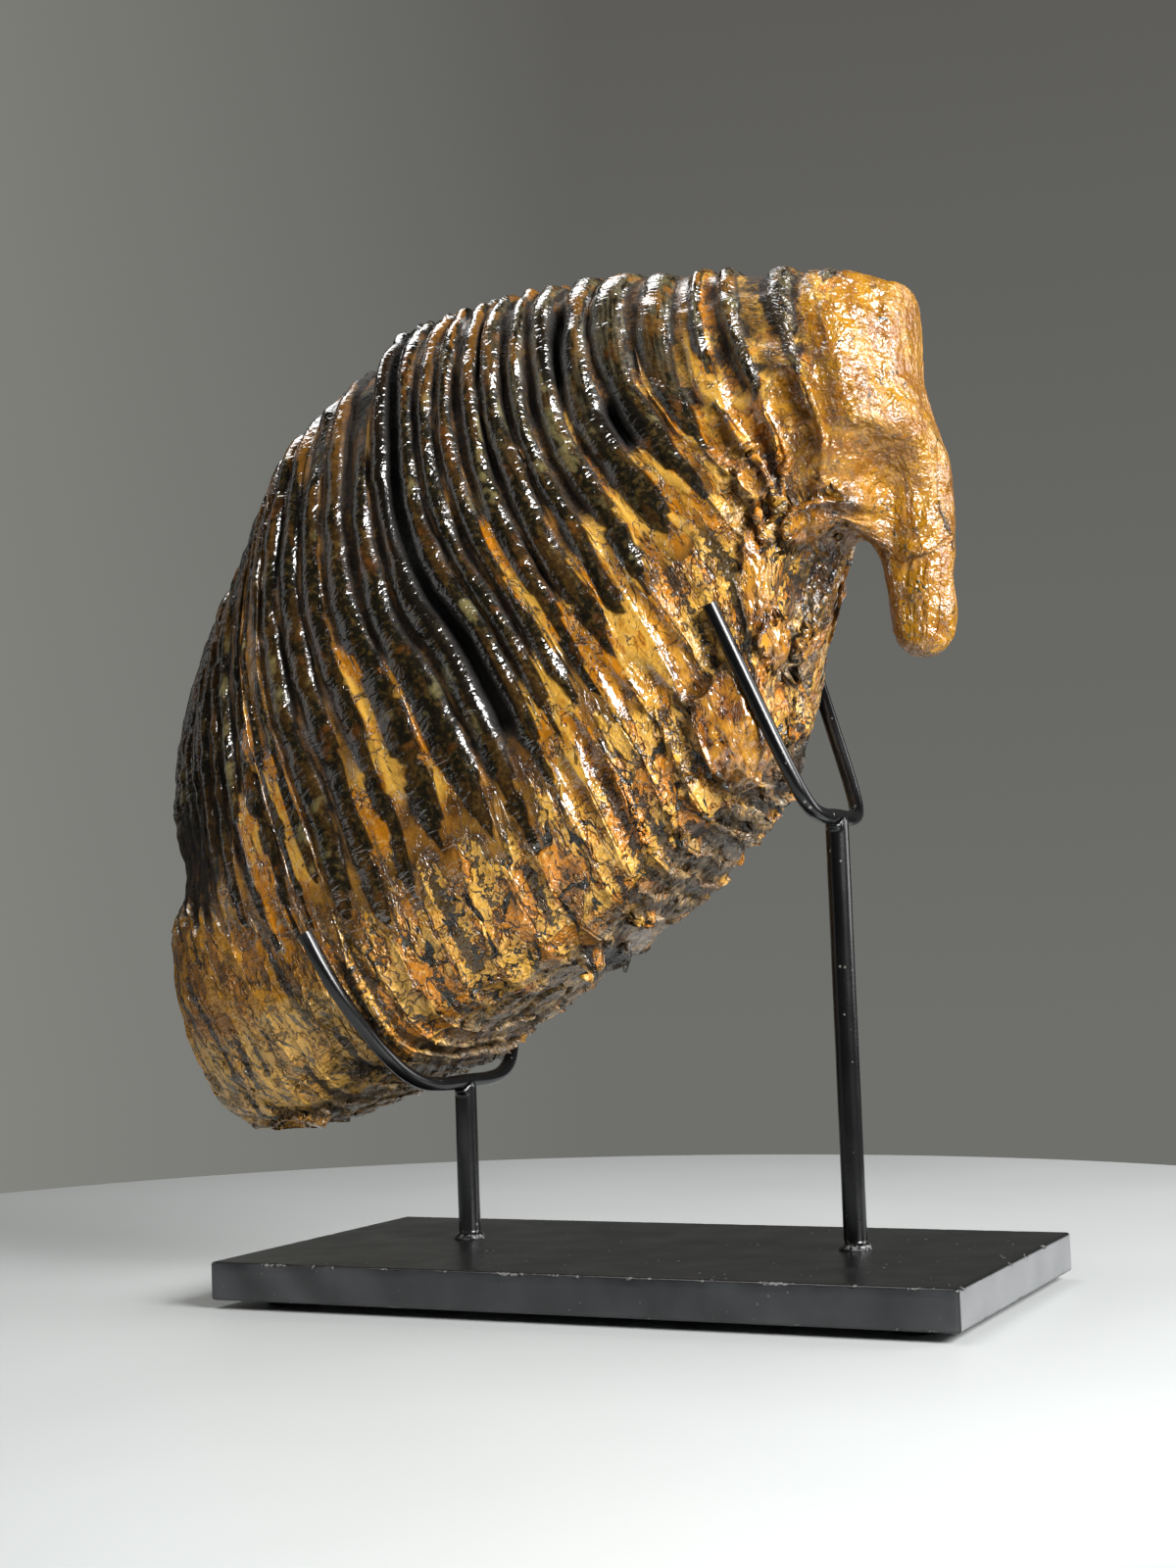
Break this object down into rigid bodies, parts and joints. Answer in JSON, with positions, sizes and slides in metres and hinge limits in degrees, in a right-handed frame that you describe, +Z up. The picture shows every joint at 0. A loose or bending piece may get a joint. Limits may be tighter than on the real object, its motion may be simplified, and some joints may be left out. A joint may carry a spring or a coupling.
{
  "type": "fossil mammoth tooth on stand",
  "caption": "Fossil mammoth molar with wavy enamel ridges and a hooked front root, resting in bent wire cradles on rods welded to a flat black steel plate with round rubber feet.",
  "frame": {"origin": "centre of the whole object's box, on the surface the feet stand on", "axes": "+Z up, +X along the base plate from the tooth's back end towards its hooked front root, +Y from the viewer's side to the back"},
  "size_m": [0.2416, 0.1104, 0.2723],
  "materials": {
    "fossil": "polished fossil enamel, dentine and cement, dark ridges and ochre root",
    "steel": "satin black paint",
    "feet": "matt black rubber"
  },
  "bodies": {
    "root": {"tooth": "fossil", "base_plate": "steel", "post_short": "steel", "post_tall": "steel", "cradle_low": "steel", "cradle_high": "steel", "foot_front_left": "feet", "foot_back_left": "feet", "foot_front_right": "feet", "foot_back_right": "feet"}
  },
  "joints": []
}
